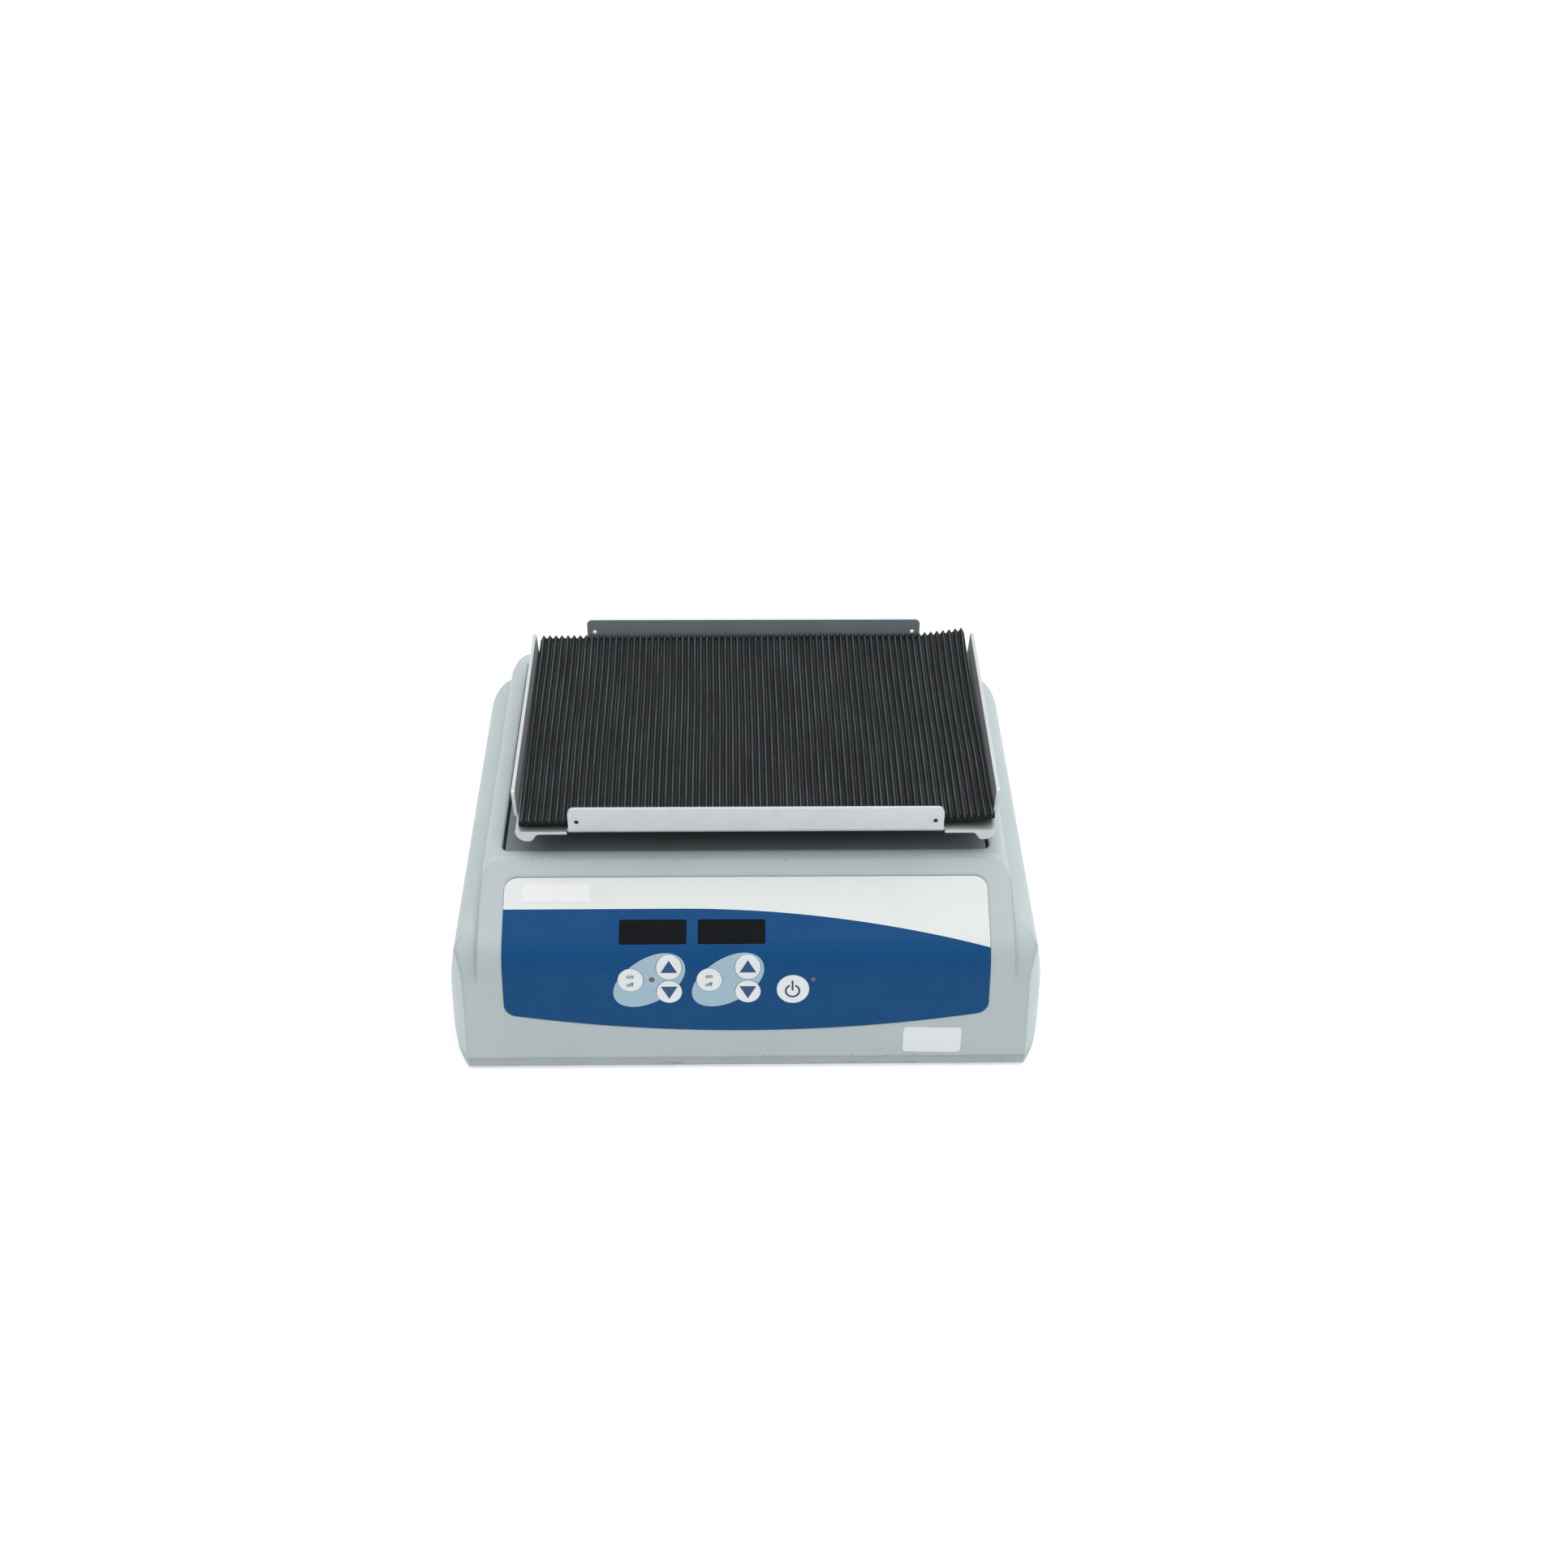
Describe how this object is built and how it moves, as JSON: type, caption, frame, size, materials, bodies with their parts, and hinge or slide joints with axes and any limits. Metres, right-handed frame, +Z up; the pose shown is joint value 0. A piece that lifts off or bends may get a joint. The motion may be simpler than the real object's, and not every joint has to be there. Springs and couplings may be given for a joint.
{
  "type": "orbital shaker",
  "caption": "Bench orbital shaker: a metal tray with a ribbed rubber mat orbits above a sloping keypad panel, driven by an eccentric shaft, belt and motor.",
  "frame": {"origin": "on the bench, under the middle of the body", "axes": "+X to the right seen from the front, +Y to the back, +Z up; the keypad faces -Y"},
  "size_m": [0.3548, 0.2795, 0.1345],
  "materials": {
    "housing_plastic": "light grey moulded plastic, fine satin texture",
    "plinth_plastic": "grey moulded plastic, satin",
    "foot_rubber": "soft black rubber",
    "zinc_steel": "zinc plated steel",
    "panel_film": "printed film, fine satin, white above and blue below",
    "window_plastic": "dark tinted clear plastic",
    "display_plastic": "dark grey display body",
    "board": "green laminate with solder mask",
    "black_plastic": "black moulded plastic",
    "light_guide": "clear moulded plastic",
    "label_paper": "blank white sticker",
    "key_film": "pale embossed film",
    "plate_aluminium": "machined aluminium",
    "shaft_steel": "ground steel",
    "bearing_steel": "ground bearing steel",
    "weight_iron": "turned cast iron",
    "motor_can": "black painted steel",
    "belt_rubber": "black rubber belt",
    "supply_board": "laminate board with parts",
    "pin_brass": "plated brass",
    "lead_sheath": "insulated wire",
    "cable_sheath": "black cable",
    "tray_steel": "brushed stainless sheet",
    "carriage_plastic": "light grey moulded plastic, fine satin texture",
    "mat_rubber": "ribbed black rubber"
  },
  "bodies": {
    "housing": {"top_cover": "housing_plastic", "base_pan": "plinth_plastic", "rubber_feet": "foot_rubber", "foot_screws": "zinc_steel", "cover_screws": "zinc_steel", "panel_film": "panel_film", "speed_window": "window_plastic", "time_window": "window_plastic", "speed_display": "display_plastic", "time_display": "display_plastic", "display_board": "board", "control_board": "board", "board_screws": "zinc_steel", "key_switches": "black_plastic", "light_pipes": "light_guide", "panel_label": "label_paper", "front_label": "label_paper", "chassis_plate": "plate_aluminium", "chassis_pillars": "plate_aluminium", "pillar_screws": "zinc_steel", "main_bearing_block": "plate_aluminium", "main_bearings": "bearing_steel", "idler_blocks": "plate_aluminium", "idler_bearings": "bearing_steel", "block_screws": "zinc_steel", "motor": "motor_can", "motor_screws": "zinc_steel", "drive_belt": "belt_rubber", "power_supply": "supply_board", "supply_standoffs": "zinc_steel", "power_inlet": "black_plastic", "inlet_pins": "pin_brass", "fuse_drawer": "black_plastic", "inlet_screws": "zinc_steel", "rear_label": "label_paper", "inlet_leads": "lead_sheath", "board_cable": "cable_sheath", "motor_cable": "cable_sheath"},
    "drive_crank": {"drive_shaft": "shaft_steel", "drive_pulley": "plate_aluminium", "counterweight": "weight_iron", "crank_screws": "zinc_steel"},
    "motor_rotor": {"motor_shaft": "shaft_steel", "motor_pulley": "plate_aluminium"},
    "idler_left": {"idler_crank_left": "shaft_steel"},
    "idler_right": {"idler_crank_right": "shaft_steel"},
    "idler_rear": {"idler_crank_rear": "shaft_steel"},
    "platform": {"carriage": "carriage_plastic", "carriage_bearings": "bearing_steel", "tray_posts": "plate_aluminium", "tray": "tray_steel", "tray_screws": "zinc_steel", "rubber_mat": "mat_rubber"},
    "key_speed_on": {"key_speed_on": "key_film"},
    "key_speed_up": {"key_speed_up": "key_film"},
    "key_speed_down": {"key_speed_down": "key_film"},
    "key_time_on": {"key_time_on": "key_film"},
    "key_time_up": {"key_time_up": "key_film"},
    "key_time_down": {"key_time_down": "key_film"},
    "key_power": {"key_power": "key_film"}
  },
  "joints": [
    {"name": "drive_spin", "type": "hinge", "parent": "housing", "child": "drive_crank", "pos_m": [0, 0.0315, 0], "axis": [0, 0, 1], "continuous": true},
    {"name": "tray_orbit", "type": "hinge", "parent": "drive_crank", "child": "platform", "pos_m": [0, 0.03, 0], "axis": [0, 0, 1], "continuous": true},
    {"name": "idler_left_spin", "type": "hinge", "parent": "housing", "child": "idler_left", "pos_m": [-0.096, -0.02, 0], "axis": [0, 0, 1], "continuous": true},
    {"name": "idler_right_spin", "type": "hinge", "parent": "housing", "child": "idler_right", "pos_m": [0.096, -0.02, 0], "axis": [0, 0, 1], "continuous": true},
    {"name": "idler_rear_spin", "type": "hinge", "parent": "housing", "child": "idler_rear", "pos_m": [0, 0.0875, 0], "axis": [0, 0, 1], "continuous": true},
    {"name": "motor_spin", "type": "hinge", "parent": "housing", "child": "motor_rotor", "pos_m": [-0.098, 0.0615, 0], "axis": [0, 0, 1], "continuous": true},
    {"name": "key_speed_on_press", "type": "slide", "parent": "housing", "child": "key_speed_on", "axis": [0, 0.9816, -0.1908], "range_m": [0, 0.0004], "stiffness_N_per_m": 1500},
    {"name": "key_speed_up_press", "type": "slide", "parent": "housing", "child": "key_speed_up", "axis": [0, 0.926, -0.3775], "range_m": [0, 0.0004], "stiffness_N_per_m": 1500},
    {"name": "key_speed_down_press", "type": "slide", "parent": "housing", "child": "key_speed_down", "axis": [0, 0.9816, -0.1908], "range_m": [0, 0.0004], "stiffness_N_per_m": 1500},
    {"name": "key_time_on_press", "type": "slide", "parent": "housing", "child": "key_time_on", "axis": [0, 0.9816, -0.1908], "range_m": [0, 0.0004], "stiffness_N_per_m": 1500},
    {"name": "key_time_up_press", "type": "slide", "parent": "housing", "child": "key_time_up", "axis": [0, 0.926, -0.3775], "range_m": [0, 0.0004], "stiffness_N_per_m": 1500},
    {"name": "key_time_down_press", "type": "slide", "parent": "housing", "child": "key_time_down", "axis": [0, 0.9816, -0.1908], "range_m": [0, 0.0004], "stiffness_N_per_m": 1500},
    {"name": "key_power_press", "type": "slide", "parent": "housing", "child": "key_power", "axis": [0, 0.9816, -0.1908], "range_m": [0, 0.0004], "stiffness_N_per_m": 1500}
  ],
  "couplings": [
    {"joint": "tray_orbit", "follows": "drive_spin", "ratio": -1},
    {"joint": "idler_left_spin", "follows": "drive_spin", "ratio": 1},
    {"joint": "idler_right_spin", "follows": "drive_spin", "ratio": 1},
    {"joint": "idler_rear_spin", "follows": "drive_spin", "ratio": 1},
    {"joint": "motor_spin", "follows": "drive_spin", "ratio": 3}
  ]
}
